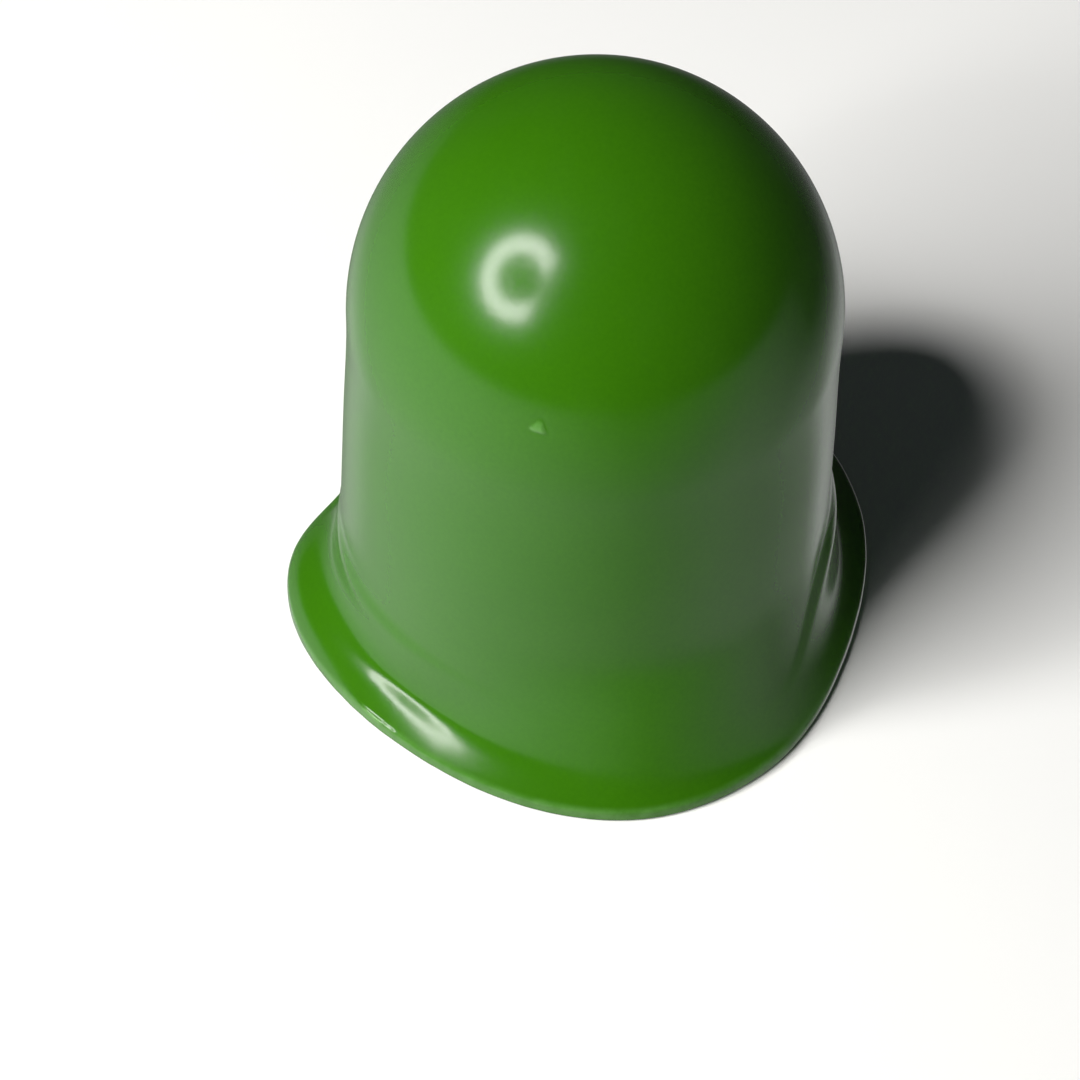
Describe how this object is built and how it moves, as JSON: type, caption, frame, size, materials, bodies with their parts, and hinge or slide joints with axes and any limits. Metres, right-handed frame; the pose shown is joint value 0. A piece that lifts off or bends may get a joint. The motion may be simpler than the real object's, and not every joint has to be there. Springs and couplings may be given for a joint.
{
  "type": "pipette filler bulb",
  "caption": "Squeeze bulb of green rubber with a domed crown and bell-mouthed flange, closed at its mouth by a clamped valve block with a soft pipette chuck.",
  "frame": {"origin": "on the axis of the bulb's round wall, in the plane that the flange's lip rests on", "axes": "+Z along the bulb's axis from the mouth to the crown; +Y towards the relief valve; +X completes the right-handed frame"},
  "size_m": [0.0482, 0.0494, 0.0522],
  "materials": {
    "bulb_rubber": "satin moulded rubber, saturated leaf green",
    "block_plastic": "moulded polypropylene, natural off-white",
    "green_plastic": "moulded polypropylene, dark green",
    "washer_plastic": "smooth acetal",
    "chuck_silicone": "translucent grey silicone",
    "seat_rubber": "soft grey rubber",
    "ball_plastic": "smooth white polypropylene",
    "membrane": "fine porous hydrophobic membrane",
    "steel": "stainless steel"
  },
  "bodies": {
    "root": {"bulb_flange": "bulb_rubber", "bulb_wall": "bulb_rubber", "valve_block": "block_plastic", "clamp_plate": "block_plastic", "clamp_screw_1": "steel", "clamp_screw_2": "steel", "clamp_screw_3": "steel", "chuck_nut": "green_plastic", "chuck_washer": "washer_plastic", "pipette_chuck": "chuck_silicone", "guard_seat": "seat_rubber", "filter_grid": "block_plastic", "filter_membrane": "membrane", "filter_cap": "block_plastic", "relief_seat": "seat_rubber", "relief_spring": "steel", "relief_cap": "green_plastic"},
    "crown": {"bulb_dome": "bulb_rubber"},
    "guard": {"guard_ball": "ball_plastic"},
    "relief": {"relief_ball": "steel"}
  },
  "joints": [
    {"name": "dome_press", "type": "slide", "parent": "root", "child": "crown", "axis": [0, 0, -1], "range_m": [0, 0.012], "stiffness_N_per_m": 1200, "deforming": ["bulb_wall"]},
    {"name": "guard_float", "type": "slide", "parent": "root", "child": "guard", "axis": [0, 0, 1], "range_m": [0, 0.0019]},
    {"name": "relief_open", "type": "slide", "parent": "root", "child": "relief", "axis": [0, 0, -1], "range_m": [0, 0.0009], "stiffness_N_per_m": 120, "springref_m": -0.001, "deforming": ["relief_spring"]}
  ]
}
